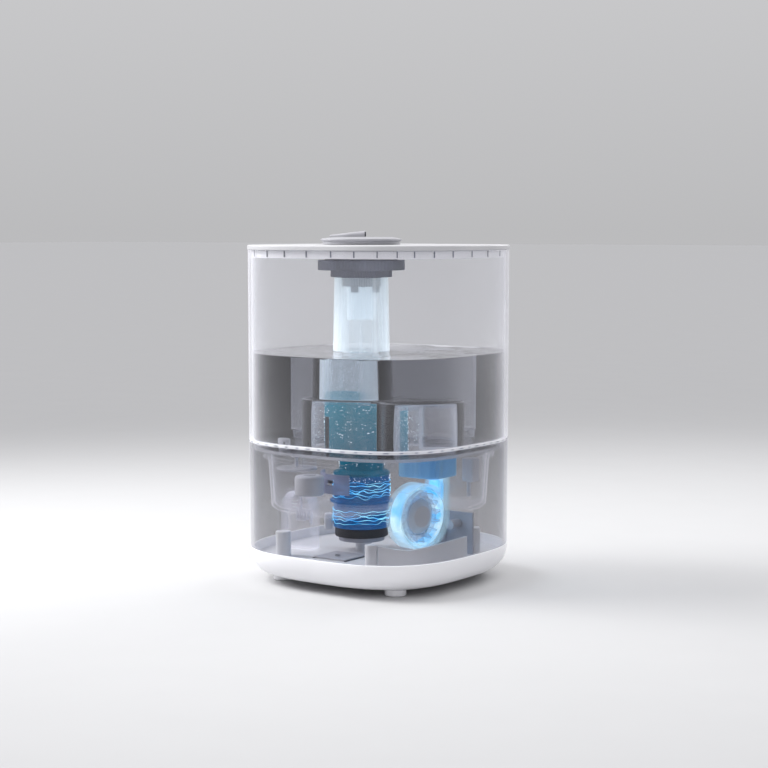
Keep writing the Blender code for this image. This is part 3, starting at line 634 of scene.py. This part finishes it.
def tank():
    wall = [(HALF_SEAM, FLANGE_Z + GAP), (HALF_TANK, WALL_TOP_Z), (HALF_TANK - WALL, WALL_TOP_Z),
            (HALF_SEAM - WALL, FLANGE_Z + GAP)]
    wear(shell("tank_band", wall, "tank", 0.6), "tank", "clear", "tank_wall")

    top = rounded([(0.0, TANK_FLOOR_Z), (0.0, DOME_Z), (6.0, DOME_Z)], 1.6, closed=False, steps=5)
    under = rounded([(8.0, DOME_Z - 2.0), (2.0, DOME_Z - 2.0), (2.0, TANK_UNDER_Z)], 1.0, closed=False)
    rim = [(92.6, TANK_FLOOR_Z), (93.6, TANK_FLOOR_Z + 0.8), (94.2, FLANGE_Z), (95.6, FLANGE_Z),
           (95.7, SEAM_LOW_Z + GAP), (95.6, TANK_UNDER_Z + 0.6), (95.0, TANK_UNDER_Z)]
    rings = [circle(MIST, DOME_HOLE_R, DOME_Z, RING)] + [dome_ring(i, z) for i, z in reversed(top)]
    rings += [squircle(half, z) for half, z in rim]
    rings += [dome_ring(i, z) for i, z in reversed(under)] + [circle(MIST, DOME_HOLE_R, DOME_Z - 2.0, RING)]
    floor = skin("tank_floor_dome", rings, "floor")
    boolean(floor, [rod("valve_bore", VALVE, 3.4, 110.0, 118.0, "floor")], "DIFFERENCE")
    wear(floor, "tank", "clear", "tank_floor")
    flange = [(95.9, SEAM_LOW_Z + GAP), (HALF_SEAM, SEAM_LOW_Z + GAP), (HALF_SEAM, FLANGE_Z),
              (95.8, FLANGE_Z)]
    wear(shell("tank_flange", flange, "seam", 0.5), "tank", "clear", "tank_floor")
    marks = bmesh.new()
    count = 56
    for i in range(count):
        length = 2.6 if i % 3 else 4.2
        stud(marks, 360.0 / count * i, HALF_SEAM - 0.05, FLANGE_Z - 1.1, (length, 0.5, 0.8))
    wear(as_object("flange_marks", marks, "slate"), "tank", "clear", "tank_floor")

    tube = [(23.2, TUBE_TOP_Z), (24.4, 195.0), (25.3, DOME_Z + GAP), (23.3, DOME_Z + GAP), (22.4, 195.0),
            (21.2, TUBE_TOP_Z)]
    wear(lathe("mist_tube_wall", tube, "tube", MIST, 0.5), "tank", "clear", "mist_tube")

    foot, roof = TANK_FLOOR_Z + GAP, TANK_FLOOR_Z + 6.8
    cap = [(1.0, roof + 2.0), (4.4, roof + 2.0), (5.4, roof + 1.0), (5.4, foot), (4.6, foot), (4.6, roof),
           (1.0, roof)]
    cage = lathe("valve_cage_cap", cap, "milky", VALVE, 0.3, closed=False, count=48)
    corners = (VALVE[0] - 8, VALVE[1] - 0.9, foot + 1.9), (VALVE[0] + 8, VALVE[1] + 0.9, roof - 1.0)
    slots = [block(f"slot_{i}", *corners, "milky", turn=60.0 * i) for i in range(3)]
    wear(boolean(cage, slots, "DIFFERENCE"), "tank", "white", "valve_cage")
    water()


def water():
    """The water in the tank: a body that keeps clear of the walls, with a rippled top."""
    gap = 0.25
    half, tube = HALF_TANK - WALL - gap, 25.2
    rings = [dome_ring(-gap, TANK_FLOOR_Z + gap), squircle(93.0, TANK_FLOOR_Z + gap),
             squircle(93.8, FLANGE_Z + gap), squircle(HALF_SEAM - WALL - gap, FLANGE_Z + 0.5),
             squircle(half - 0.1, WATER_Z - 1.0)]
    bands = 46
    edge, centre = squircle(half - 0.1, 0.0), circle(MIST, tube, 0.0, RING)
    for k in range(bands + 1):
        t = k / bands
        ring = []
        for a, b in zip(edge, centre):
            p = a.lerp(b, t)
            rim = min(t, 1 - t) * bands
            lift = (1.5 * noise.noise(Vector((p.x / 17, p.y / 26, 3.1)))
                    + 0.6 * noise.noise(Vector((p.x / 6, p.y / 8, 8.4))))
            swirl = 1.0 if p.x > 0 or p.y > 30 else 0.45
            p.z = WATER_Z + lift * swirl * min(1.0, rim / 3) + 0.6 * max(0.0, 1 - rim / 2.0)
            ring.append(p)
        rings.append(ring)
    rings += [circle(MIST, 25.75, DOME_Z + 2.0, RING), circle(MIST, 25.8, DOME_Z + gap, RING),
              dome_ring(1.4, DOME_Z + gap), dome_ring(-gap, DOME_Z - 1.4)]
    wear(skin("tank_water", rings, "water", sharp=60), "tank", "clear")


# ---------------------------------------------------------------- base

def upstand_top(angle):
    """Height of the curved upstand, which dips where the blower housing leans over it."""
    for (a, low), (b, high) in zip(UPSTAND_TOP, UPSTAND_TOP[1:]):
        if angle <= b:
            return low + (high - low) * max(0.0, (angle - a) / (b - a))
    return UPSTAND_TOP[-1][1]


def base():
    pan = [(90.0, 18.5), (89.0, 16.5), (84.0, 11.6), (78.2, 9.2), (77.5, PAN_Z), (80.5, PAN_Z), (85.0, 6.7),
           (88.9, 8.2), (91.8, 10.2), (94.2, 12.7), (96.1, 15.6), (97.5, 18.9), (98.4, 22.2), (98.85, 25.6),
           (HALF_RIM, RIM_Z - GAP), (HALF_RIM - 3.0, RIM_Z - GAP), (HALF_RIM - 3.4, DECK_Z)]
    body = skin("pan_moulding", [squircle(h, z) for h, z in rounded(pan, 0.5, closed=False)], "pan", False)
    inside = DECK_Z - 1.5
    extras = [rod(name, at, radius, inside, top, "pan") for name, at, radius, top in (
        ("post_a", POSTS[0], 6.5, 42.6), ("post_b", POSTS[1], 6.5, 42.6), ("post_c", POSTS[2], 6.0, 42.6),
        ("post_d", (42.0, -69.5), 5.2, 41.5), ("post_e", (MIST[0] + 2.0, 0.0), 7.0, 29.8))]
    start, end = (radians(row[0]) for row in (UPSTAND_TOP[0], UPSTAND_TOP[-1]))
    line = squircle(76.0, 0.0, 40, start, end) + squircle(73.4, 0.0, 40, start, end)[::-1]
    extras.append(skin("upstand", [[p + Vector((0, 0, inside)) for p in line],
                                   [p + Vector((0, 0, upstand_top(degrees(atan2(p.y, p.x))))) for p in line]],
                       "pan", closed=False))
    boolean(body, extras, "UNION")
    button = block("button_opening", (-37.0, 90.0, 22.0), (-23.0, 102.0, 28.0), "pan")
    inlet = rod("inlet_opening", (0, 0), 3.4, -102.0, -90.0, "pan",
                matrix=Matrix.Translation((30.0, 0.0, 25.0)) @ standing(0.0))
    boolean(body, [button, inlet], "DIFFERENCE")
    wear(body, "base", "white", "base_pan")
    for i, (x, y) in enumerate(((1, -1), (1, 1), (-1, 1), (-1, -1))):
        foot = rod(f"foot_pad_{i + 1}", (x * 58.5, y * 58.5), 9.0, 0.0, FOOT_Z, "pan", 0.8)
        wear(foot, "base", "white", f"foot_{i + 1}")
    band = [(HALF_RIM, RIM_Z), (HALF_SEAM, SEAM_LOW_Z), (HALF_SEAM - WALL, SEAM_LOW_Z),
            (HALF_RIM - WALL, RIM_Z)]
    wear(shell("housing_band", band, "housing", 0.6), "base", "clear", "base_housing")
    tray()
    drum()


def arch(grow, low):
    """Round-topped outline of the drum, grown by a margin, with its foot at low."""
    radius, centre = DRUM_HALF + grow, (DRUM[0], DRUM_TOP_Z - DRUM_HALF)
    steps = 48
    top = [around(centre, radius, pi * i / steps) for i in range(steps + 1)]
    return [(DRUM[0] + radius, low)] + top + [(DRUM[0] - radius, low)]


def standing(y):
    """Frame whose x and y are the model's x and z, at depth y."""
    return Matrix.Translation((0.0, y, 0.0)) @ Matrix.Rotation(radians(90), 4, "X")


def drum():
    half, thick = DRUM_THICK / 2, 1.8
    low = DECK_Z + GAP
    at = standing(DRUM[1])
    body = plate("intake_drum_housing", arch(0.0, low), -half, half, "drum", 1.2, at)
    hollow = plate("drum_hollow", arch(-thick, low - 5.0), thick - half, half - thick, "drum", matrix=at)
    wear(boolean(body, [hollow], "DIFFERENCE"), "base", "clear", "intake_drum")
    for i in range(3):
        louvre = block(f"drum_louvre_{i + 1}", (DRUM[0] - 3.2, DRUM[1] - half - 0.5, 63.2 - 3.0 * i),
                       (DRUM[0] + 2.6, DRUM[1] - half + 0.4, 64.1 - 3.0 * i), "white", 0.3)
        wear(louvre, "base", "white")


def tray():
    """Basin around the drum's hump, with its blower bay cut out of the front right."""
    half, inner, floor = DRUM_THICK / 2, 40.0, 63.4
    far, under, over = 130.0, 40.0, 140.0
    at = standing(DRUM[1])
    outside = [(inner, TRAY_Z), (79.8, TRAY_Z), (82.5, floor), (85.0, TRAY_RIM_Z - 2.4),
               (88.8, TRAY_RIM_Z - 2.4), (88.8, TRAY_RIM_Z), (inner, TRAY_RIM_Z)]
    inside = [(inner, floor), (78.0, floor), (80.7, 65.8), (83.1, TRAY_RIM_Z + 2.0),
              (inner, TRAY_RIM_Z + 2.0)]
    body = shell("tray_moulding", outside, "tray", 1.2, closed=False)
    cavity = shell("cavity", inside, "tray", 1.5, closed=False)
    hump = plate("hump", arch(2.8, under), -half - 2.7, half + 2.7, "tray", matrix=at)
    boolean(hump, [block("under", (-far, -60.0, 30.0), (0.0, 0.0, TRAY_Z + 0.8), "tray")], "DIFFERENCE")
    kept = hump.copy()
    kept.data = hump.data.copy()
    bpy.context.scene.collection.objects.link(kept)
    bay_wall = block("bay_wall", (BAY[0] - 2.2, -far, under), (far, BAY[1] + 2.2, over), "tray")
    boolean(cavity, [bay_wall, kept], "DIFFERENCE")
    boolean(body, [hump], "UNION")
    bay = block("bay", (BAY[0], -far, under), (far, BAY[1], over), "tray")
    hump_inside = plate("hump_inside", arch(0.8, under), -half - 0.7, half + 0.7, "tray", matrix=at)
    chamber_hole = rod("chamber_hole", MIST, CHAMBER_R + 0.7, 50.0, 80.0, "tray", count=ROUND)
    boolean(body, [cavity, bay, hump_inside, chamber_hole], "DIFFERENCE")
    legs = [rod(f"leg_{i}", at, 4.6, 42.9, TRAY_Z + 1.4, "tray") for i, at in enumerate(POSTS)]
    wear(boolean(body, legs, "UNION"), "base", "clear", "water_tray")


# ---------------------------------------------------------------- mist works

def mist_works():
    inner = CHAMBER_R - 2.0
    flange = CHAMBER_R + 3.0
    cup = [(CHAMBER_R, 87.0), (CHAMBER_R, 65.6), (flange, 65.6), (flange, 63.7), (CHAMBER_R, 63.7),
           (CHAMBER_R, 42.0), (10.0, 42.0), (10.0, 44.0), (inner, 44.0), (inner, 87.0)]
    wear(lathe("mist_chamber_cup", cup, "blue", MIST, 0.6), "base", "blue_clear", "mist_chamber")
    riser = [(19.5, 160.0), (19.5, 92.0), (CHAMBER_R, 89.6), (CHAMBER_R, 87.3), (inner, 87.3), (17.7, 91.0),
             (17.7, 160.0)]
    wear(lathe("mist_riser_tube", riser, "teal", MIST, 0.5), "base", "teal_clear", "mist_riser")
    seal = [(23.0, 41.7), (23.0, 34.0), (9.2, 34.0), (9.2, 41.7)]
    wear(lathe("transducer_seal_ring", seal, "rubber", MIST, 0.8), "base", "seal", "transducer_seal")
    swirls()
    droplets()
    collar()


def collar():
    """Arc in front of the chamber, with two windows and a dark block behind each, which darkens it."""
    first, last, steps = radians(-164), radians(-71), 48
    turns = [first + (last - first) * i / steps for i in range(steps + 1)]
    arc = [around(MIST, 35.8, a) for a in turns] + [around(MIST, 33.8, a) for a in reversed(turns)]
    band = plate("collar_band", arc, 73.0, 90.0, "collar", 0.3)
    windows = []
    for i, angle in enumerate((-134.0, -104.0)):
        x, y = around(MIST, 35.0, radians(angle))
        windows.append(block("window", (x - 5, y - 2.4, 80.5), (x + 5, y + 2.4, 85.0), "milky",
                             turn=angle + 90.0))
        x, y = around(MIST, 32.9, radians(angle))
        dark_block = block(f"collar_dark_block_{i + 1}", (x - 4.6, y - 0.5, 81.6), (x + 1.4, y + 0.5, 84.4),
                        "dark", 0.2, angle + 90.0)
        wear(dark_block, "base", "grey")
    wear(boolean(band, windows, "DIFFERENCE"), "base", "grey", "chamber_collar")


def droplets():
    """Droplets that cling to the rising column: on the riser, the chamber, the dome's wall and the tube.

    Each band is (count, lowest, highest, least radius, greatest radius, (first angle, last angle)).
    """
    pick = Random(7)
    for name, body, slot, bands in (
            ("droplets_riser", "base", "teal_clear", (
                (460, 94.0, 158.0, 19.6, 19.9, (0, 360)), (120, 82.0, 87.0, 24.6, 24.8, (0, 360)))),
            ("droplets_dome", "tank", "clear", ((170, 118.0, 150.0, 32.6, 32.9, (50, 310)),)),
            ("droplets_tube", "tank", "clear", ((240, 161.0, 192.0, 21.6, 21.9, (0, 360)),))):
        shape = bmesh.new()
        for count, low, high, near, far, (start, end) in bands:
            for _ in range(count):
                a, r = radians(pick.uniform(start, end)), pick.uniform(near, far)
                place = Matrix.Translation((*around(MIST, r, a), pick.uniform(low, high)))
                size = pick.uniform(0.18, 0.42)
                bmesh.ops.create_icosphere(shape, subdivisions=1, radius=size, matrix=place)
        # The droplets glow: painted glints of light.
        wear(as_object(name, shape, "drop", 180), body, slot)


def swirls():
    """Thin lit streaks of turning water around the chamber, clear of its flange."""
    heights = [47.0 + 2.6 * k for k in range(5)] + [69.5 + 2.5 * k for k in range(6)]
    radius, count = CHAMBER_R + 0.45, 120
    for k, height in enumerate(heights):
        curve = bpy.data.curves.new(f"water_swirl_{k + 1}", "CURVE")
        curve.dimensions = "3D"
        curve.bevel_depth = (0.16 + 0.16 * ((k * 7) % 5) / 4) * MM
        curve.bevel_resolution = 2
        spline = curve.splines.new("NURBS")
        spline.points.add(count - 1)
        for i, point in enumerate(spline.points):
            a = 2 * pi * i / count
            wobble = noise.noise(Vector((cos(a) * 3.4, sin(a) * 3.4, k * 1.7)))
            x, y = around(MIST, radius, a)
            point.co = (x * MM, y * MM, (height + 2.6 * wobble) * MM, 1.0)
        spline.use_cyclic_u = True
        spline.order_u = 4
        obj = bpy.data.objects.new(f"water_swirl_{k + 1}", curve)
        bpy.context.scene.collection.objects.link(obj)
        curve.materials.append(LOOKS["streak"])
        wear(obj, "base", "blue_clear")


# ---------------------------------------------------------------- blower

def volute_line(inset, depth):
    """Outline of the blower housing and its duct in the blower's frame, drawn in by inset."""
    radius, left, top = VOLUTE_R - inset, DUCT_LOW + inset, DUCT_TOP - inset
    turn = 2 * pi - acos(left / radius)
    steps = 84
    points = [Vector((*around((0.0, 0.0), radius, -turn * i / steps), depth)) for i in range(steps + 1)]
    return [Vector((radius, top, depth))] + points + [Vector((left, top, depth))]


def duct_opening(name, low, look):
    """Cutter for the air's way out of the duct, its foot at low."""
    return block(name, (DUCT_LOW + 2.0, low, -7.0), (VOLUTE_R - 2.0, 45.0, 7.0), look,
                 matrix=BLOWER_FRAME)


def blower():
    half, wall = 9.0, 2.0
    rings = [volute_line(0.6, -half), volute_line(0.0, -half + 0.6), volute_line(0.0, half - 0.3),
             volute_line(0.3, half), volute_line(wall, half), volute_line(wall, wall - half)]
    body = skin("volute_housing", rings, "ring", closed=False, matrix=BLOWER_FRAME)
    outlet = duct_opening("outlet", 26.0, "ring")
    shaft_hole = rod("shaft_hole", (0, 0), 3.0, -12.0, 0.0, "ring", 0.1, matrix=BLOWER_FRAME)
    wear(boolean(body, [outlet, shaft_hole], "DIFFERENCE"), "base", "clear", "blower_volute")
    low, high = half + GAP, half + 1.9
    outline = [(p.x, p.y) for p in volute_line(0.0, 0.0)]
    cover = plate("volute_face", outline, low, high, "ring", 0.5, BLOWER_FRAME)
    inlet = rod("inlet", (0, 0), 23.0, low - 3, high + 3, "ring", 0.1, ROUND, BLOWER_FRAME)
    wear(boolean(cover, [inlet], "DIFFERENCE"), "base", "clear", "volute_cover")
    hub = [(0.8, 6.8), (9.0, 6.2), (15.0, 2.5), (15.0, -5.5), (1.6, -5.5), (1.6, -15.0), (0.8, -15.0)]
    # The hub cap takes the white look, lighter than its own grey: painted light against the volute's shade.
    wear(lathe("blower_hub_cap", hub, "white", radius=1.2, closed=False, matrix=BLOWER_FRAME),
         "fan", "grey", "blower_hub")
    motor = [(1.0, -16.0), (2.2, -16.0), (2.2, -9.4), (13.0, -9.4), (13.0, -20.0), (1.0, -20.0)]
    wear(lathe("blower_motor_can", motor, "steel", radius=1.0, closed=False, matrix=BLOWER_FRAME),
         "base", "metal", "blower_motor")
    glow_band()


def glow_band():
    """The lit air path inside the volute and up the duct, as one thin band."""
    outer, inner = volute_line(2.3, 0.0), volute_line(4.9, 0.0)
    outline = [(p.x, p.y) for p in outer + inner[::-1]]
    wear(plate("lit_air_band", outline, -5.5, 5.5, "glow", matrix=BLOWER_FRAME), "base", "blue_clear")


# ---------------------------------------------------------------- small parts

def small_parts():
    low, high = (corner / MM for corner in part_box("duct_box"))
    duct = rounded_box("duct_hood", low, high, 7.0, "sky")
    hollow = rounded_box("duct_room", low + Vector((2, 2, 2)), high + Vector((-2, -2, 9)), 5.0, "sky")
    boolean(duct, [hollow, duct_opening("way_in", 30.0, "sky")], "DIFFERENCE")
    wear(duct, "base", "blue_clear", "duct_box")
    low, high = (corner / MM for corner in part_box("level_switch_box"))
    wear(block("level_switch_case", low, high, "milky", 1.6), "base", "white", "level_switch_box")
    wear(rod("level_switch_rod", (70.2, 33.1), 1.8, 71.5, 84.2, "milky"), "base", "white", "level_switch_pin")
    wear(rod("float_cup_body", FLOAT, 12.5, 72.5, 89.0, "white", 1.2, ROUND), "float", "white", "float_cup")
    stem = rod("float_stem_post", FLOAT, 6.0, 89.3, level("float_stem"), "floor", 0.6, ROUND)
    wear(stem, "float", "clear", "float_stem")
    disc = rod("float_disc", VALVE, 17.5, 94.4, 96.6, "milky", 0.7, ROUND)
    boolean(disc, [rod("stem_hole", FLOAT, 6.4, 90.0, 110.0, "milky", 0.1)], "DIFFERENCE")
    wear(disc, "float", "clear", "float_plate")
    side = radians(-144)
    x, y = around(MIST, 28.7, side)
    bracket = block("bracket_block", (x - 3.6, y - 5.0, 39.0), (x + 3.6, y + 5.0, 53.0), "white", 1.4,
                    degrees(side))
    wear(bracket, "base", "white", "chamber_bracket")
    access_gap()


def access_gap():
    """Dark line around the access plate, on the three sides away from the front."""
    low, high = (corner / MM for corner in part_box("access_plate"))
    middle = (low + high) / 2
    deep, wide = high.y - low.y + 2.2, high.x - low.x + 2.2
    edge = bmesh.new()
    for at, size in (((low.x - 0.6, middle.y), (1.0, deep)), ((high.x + 0.6, middle.y), (1.0, deep)),
                     ((middle.x, high.y + 0.6), (wide, 1.0))):
        made = bmesh.ops.create_cube(edge, size=1.0)["verts"]
        bmesh.ops.scale(edge, vec=(*size, 0.5), verts=made)
        bmesh.ops.translate(edge, vec=(*at, DECK_Z + 0.35), verts=made)
    wear(as_object("access_gap", edge, "dark"), "base", "grey")


def repaint_rest():
    """Looks of the CAD nodes that no shape here stands for."""
    repaint("white", "bottom_cover", "valve_plunger", "power_button")
    repaint("steel", *(f"cover_screw_{i}" for i in range(1, 5)), "access_screw", "transducer")
    repaint("rubber", "valve_seal")
    repaint("dark", "gauge_strip")
    repaint("slate", "dc_inlet", "button_switch")
    repaint("grey", "access_plate", "board_transformer", "board_capacitor", "sensor_board")
    repaint("board", "transducer_board", "control_board")
    repaint("fan", "blower_wheel")


def rounded_box(name, low, high, corner, look):
    """Upright box between two corners, with its four upright edges rounded."""
    middle, size = (low + high) / 2, (high - low) / 2
    steps = 8
    rings = []
    for inset, z in ((0.8, low.z), (0.0, low.z + 0.8), (0.0, high.z - 0.5), (0.5, high.z)):
        ring = []
        for sx, sy, start in ((1, 1, 0.0), (-1, 1, pi / 2), (-1, -1, pi), (1, -1, 3 * pi / 2)):
            centre = (middle.x + sx * (size.x - corner), middle.y + sy * (size.y - corner))
            for k in range(steps + 1):
                ring.append(Vector((*around(centre, corner - inset, start + pi / 2 * k / steps), z)))
        rings.append(ring)
    return skin(name, rings, look, closed=False)


# ---------------------------------------------------------------- room

def room():
    """Pale floor, even sky and three lamps."""
    shape = bmesh.new()
    bmesh.ops.create_grid(shape, x_segments=1, y_segments=1, size=30000.0)
    ground = as_object("floor", shape, "white")
    ground.data.materials.clear()
    ground.data.materials.append(moulded("pale_floor", (FLOOR, FLOOR, FLOOR * 1.01), 0.9, 0.004, 60.0, 0.02))
    ground.location.z = -0.0002
    world = bpy.data.worlds.new("room")
    bpy.context.scene.world = world
    world.use_nodes = True
    tree = world.node_tree
    split = tree.nodes.new("ShaderNodeSeparateXYZ")
    tree.links.new(tree.nodes.new("ShaderNodeTexCoord").outputs["Generated"], split.inputs[0])
    low, high = ((HORIZON * k, HORIZON * k, HORIZON * k * 1.02) for k in (1.0, SKY_RISE))
    colour = blend_colour(tree, span(tree, split.outputs["Z"], 0.0, 1.0, (0.0, 1.0)), low, high)
    tree.links.new(colour, tree.nodes["Background"].inputs["Color"])
    lamp("key", (-1.4, -0.35, 0.85), 0.8, 2.6, 0.06)
    lamp("front", (-1.0, -0.60, 1.30), 0.7, 3.6, 0.03)
    lamp("back", (0.2, 1.3, 0.85), 0.8, 1.6, 0.10)


def lamp(name, at, size, power, aim):
    """Square lamp of a size in metres and a power in watts, aimed at a height on the upright axis."""
    data = bpy.data.lights.new(name, "AREA")
    data.size = size
    data.energy = power
    data.spread = radians(LAMP_SPREAD)
    obj = bpy.data.objects.new(name, data)
    bpy.context.scene.collection.objects.link(obj)
    obj.location = at
    obj.visible_transmission = False
    look_along(obj, Vector((0, 0, aim)) - Vector(at))


def look_along(obj, way):
    obj.rotation_mode = "QUATERNION"
    obj.rotation_quaternion = way.to_track_quat("-Z", "Y")


def camera():
    """Camera of the photo, fitted to the object's outline."""
    data = bpy.data.cameras.new("camera")
    data.lens = LENS
    data.sensor_width = 36.0
    cam = bpy.data.objects.new("camera", data)
    bpy.context.scene.collection.objects.link(cam)
    turn, down = radians(PHOTO_TURN), radians(PHOTO_DOWN)
    right = Vector((cos(turn), sin(turn), 0.0))
    cam.location = PHOTO_FROM + right * PHOTO_SHIFT
    look_along(cam, Vector((-sin(turn) * cos(down), cos(turn) * cos(down), -sin(down))))
    bpy.context.scene.camera = cam


lid()
nozzle()
tank()
base()
mist_works()
blower()
small_parts()
repaint_rest()
room()
camera()

scene = bpy.context.scene
scene.view_settings.view_transform = "Standard"
scene.cycles.transparent_max_bounces = 64
